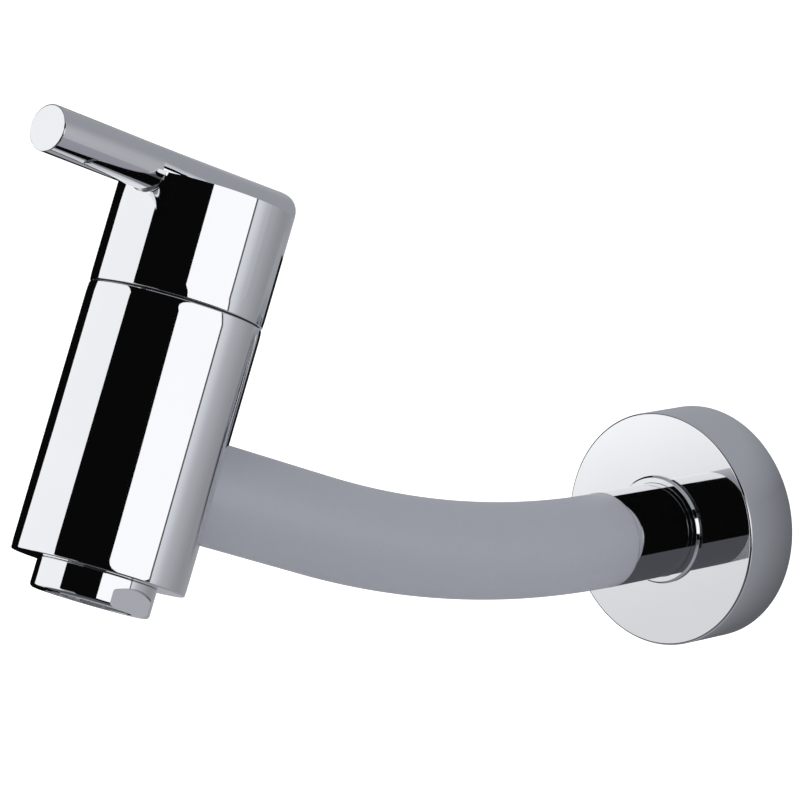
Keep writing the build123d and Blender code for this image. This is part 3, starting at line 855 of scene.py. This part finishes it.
class TAP_OT_body(bpy.types.Operator):
    """The tilted valve body, with the bore that the arm enters"""

    bl_idname = "basin_tap.body"
    bl_label = "Body"

    def execute(self, context):
        low, high, radius = -24.0, 38.2, context.scene.basin_tap.body_radius / MM
        roll, drop, edge = 2.2, 0.08, 0.35
        lean = 2 * drop / roll
        slip = drop + edge * lean
        outline = [
            (radius - slip, low, edge), (radius, low + edge + roll / 2, roll / 2),
            *rolled(radius, high + LIP, -1), (SEAM_RING, high + LIP, 0.05), (SEAM_RING, high, 0),
            (16.5, high, 0.2), (16.5, 27, 0), (12.4775, 27, 0), (12.4775, 25, 0), (10.5275, 25, 0),
            (10.5275, 16, 0), (13, 16, 0), (13, -10, 0), (5, -10, 0), (5, -14, 0), (9.5, -14, 0),
            (9.5, -16.5, 0), (SLEEVE_BORE, -16.5, 0), (SLEEVE_BORE, low, 0.3),
        ]
        shell = turned("body", BODY_FRAME, outline, around=256, steps=8)
        cutter = turned(
            "arm_bore",
            ARM_FRAME,
            [
                (1, 2, 0), (PIPE_BORE, 2, 0), (PIPE_BORE, 14.2, 0), (11.9, 14.2, 0), (11.9, 15.6, 0),
                (PIPE_BORE, 15.6, 0), (PIPE_BORE, ARM_END, 0), (SLEEVE_BORE, ARM_END, 0), (SLEEVE_BORE, 40, 0),
                (1, 40, 0),
            ],
            around=128,
        )
        cut(shell, cutter)
        finished(shell, "tap", "polished_chrome", "body_shell")
        return {"FINISHED"}


class TAP_OT_arm(bpy.types.Operator):
    """The grey sleeve of the arm, bent along its centre line"""

    bl_idname = "basin_tap.arm"
    bl_label = "Arm"

    def execute(self, context):
        arm = grown(new_piece("arm", [], []), arm_tree(), MATERIALS["satin_grey_coat"], {
            "Outer radius": context.scene.basin_tap.arm_radius,
            "Bore radius": PIPE_BORE * MM,
            "Start": NECK_END * MM,
            "Bend radius": 345 * MM,
            "Bend angle": ARM_RISE,
            "Straight run": (BEND_TO_AXIS - ARM_END) * MM,
        })
        bevel = arm.modifiers.new("edges", "BEVEL")
        bevel.width = 0.12 * MM
        bevel.segments = 2
        settled(arm)
        arm.data.polygons.foreach_set("use_smooth", [True] * len(arm.data.polygons))
        arm.data.set_sharp_from_angle(angle=math.radians(40))
        finished(arm, "tap", "satin_grey_coat", "arm_sleeve")
        return {"FINISHED"}


class TAP_OT_lever(bpy.types.Operator):
    """The lever: a cap over the body, a domed roof and a round bar that grows out of it"""

    bl_idname = "basin_tap.lever"
    bl_label = "Lever"

    def execute(self, context):
        lever = cad_copy("lever", "lever_handle")
        low, high, radius, inner = 38.85, 43.0, context.scene.basin_tap.body_radius / MM, 17.0
        below = turned(
            "below", BODY_FRAME, [(inner, 30, 0), (25, 30, 0), (25, high, 0), (inner, high, 0)], around=256
        )
        cut(lever, below)
        skirt = turned(
            "skirt",
            BODY_FRAME,
            [
                (inner, low, 0), (SEAM_RING, low, 0), (SEAM_RING, low - LIP, 0.05), *rolled(radius, low - LIP, 1),
                (radius, high, 0), (inner, high, 0),
            ],
            around=256,
            steps=8,
        )
        joined(lever, skirt)
        finished(lever, "lever", "polished_chrome", "lever_handle")
        return {"FINISHED"}


class TAP_OT_outlet(bpy.types.Operator):
    """The outlet ring under the body, with a flat for a spanner on each side"""

    bl_idname = "basin_tap.outlet"
    bl_label = "Outlet Ring"

    def execute(self, context):
        radius = context.scene.basin_tap.outlet_radius / MM
        end, shoulder, top = -31, -24.02, -18.5
        ring = turned(
            "outlet_ring",
            BODY_FRAME,
            [
                (9.9, end, 0.15), (radius, end, 0.9), (radius, shoulder, 0.2), (12, shoulder, 0), (12, top, 0.2),
                (10.5, top, 0), (10.5, end + 1.6, 0), (9.9, end + 1.6, 0),
            ],
            around=256,
        )
        flat, reach, middle = 12.4, 14.5, -25.7
        cutters = []
        for side in (90, -90):
            spot = BODY_FRAME @ Matrix.Translation((0, 0, (middle - reach) * MM))
            aimed = spot @ Matrix.Rotation(math.radians(side), 4, "Y")
            cutters.append(turned(
                "flat", aimed, [(1, flat, 0), (reach, flat, 0.3), (reach, 18, 0), (1, 18, 0)], around=192
            ))
        cut(ring, *cutters)
        finished(ring, "tap", "polished_chrome", "aerator_housing")
        return {"FINISHED"}


class TAP_OT_tail(bpy.types.Operator):
    """The brass tail with the inlet's pipe thread"""

    bl_idname = "basin_tap.tail"
    bl_label = "Inlet Tail"

    def execute(self, context):
        tap = context.scene.basin_tap
        radius, bore, tip, shoulder, top, rows = 10.4775, 8.5, -14, 0.3, 12, 96
        # Rows close enough for the thread: six along the cone at the tip, and the rest along the wall
        cone = [(radius - 1 + i / 6, tip + i / 6, 0) for i in range(6)]
        wall = [(radius, tip + 1 + 13.3 * i / rows, 0) for i in range(rows + 1)]
        tail = turned(
            "inlet_tail_piece",
            WALL_FRAME,
            [
                (bore, tip, 0), *cone, *wall, (12, shoulder, 0.3), (12, top, 0.3), (PIPE_BORE, top, 0.2),
                (PIPE_BORE, 6, 0), (bore, 6, 0),
            ],
            around=144,
        )
        grown(tail, thread_tree(), MATERIALS["brass"], {
            "Radius": radius * MM, "Pitch": tap.thread_pitch, "Depth": tap.thread_depth, "Shoulder": 0,
        })
        tail.data.attributes.remove(tail.data.attributes["custom_normal"])
        tail.data.set_sharp_from_angle(angle=math.radians(35))
        finished(tail, "tap", "brass", "inlet_tail")
        return {"FINISHED"}


class TAP_OT_frame_parts(bpy.types.Operator):
    """Finishes for the CAD parts that stay as they are"""

    bl_idname = "basin_tap.frame_parts"
    bl_label = "CAD Parts"

    def execute(self, context):
        for subpart in frame["record"]["subparts"]:
            dress(frame["nodes"][subpart["node"]], subpart["material_slot"])
        return {"FINISHED"}


class TAP_PT_panel(bpy.types.Panel):
    bl_idname = "TAP_PT_panel"
    bl_label = "Basin Tap"
    bl_space_type = "VIEW_3D"
    bl_region_type = "UI"
    bl_category = "Basin Tap"

    def draw(self, context):
        for setting in TapSettings.__annotations__:
            self.layout.prop(context.scene.basin_tap, setting)
        for operator in OPERATORS:
            self.layout.operator(operator.bl_idname)


OPERATORS = (
    TAP_OT_stage, TAP_OT_frame_parts, TAP_OT_flange, TAP_OT_neck, TAP_OT_arm, TAP_OT_body,
    TAP_OT_lever, TAP_OT_outlet, TAP_OT_tail,
)
CLASSES = (TapSettings,) + OPERATORS + (TAP_PT_panel,)


def register():
    for made in CLASSES:
        bpy.utils.register_class(made)
    bpy.types.Scene.basin_tap = bpy.props.PointerProperty(type=TapSettings)


def unregister():
    del bpy.types.Scene.basin_tap
    for made in reversed(CLASSES):
        bpy.utils.unregister_class(made)


def main():
    register()
    make_materials()
    for operator in OPERATORS:
        getattr(bpy.ops.basin_tap, operator.bl_idname.split(".")[1])()


if __name__ == "__main__":
    main()
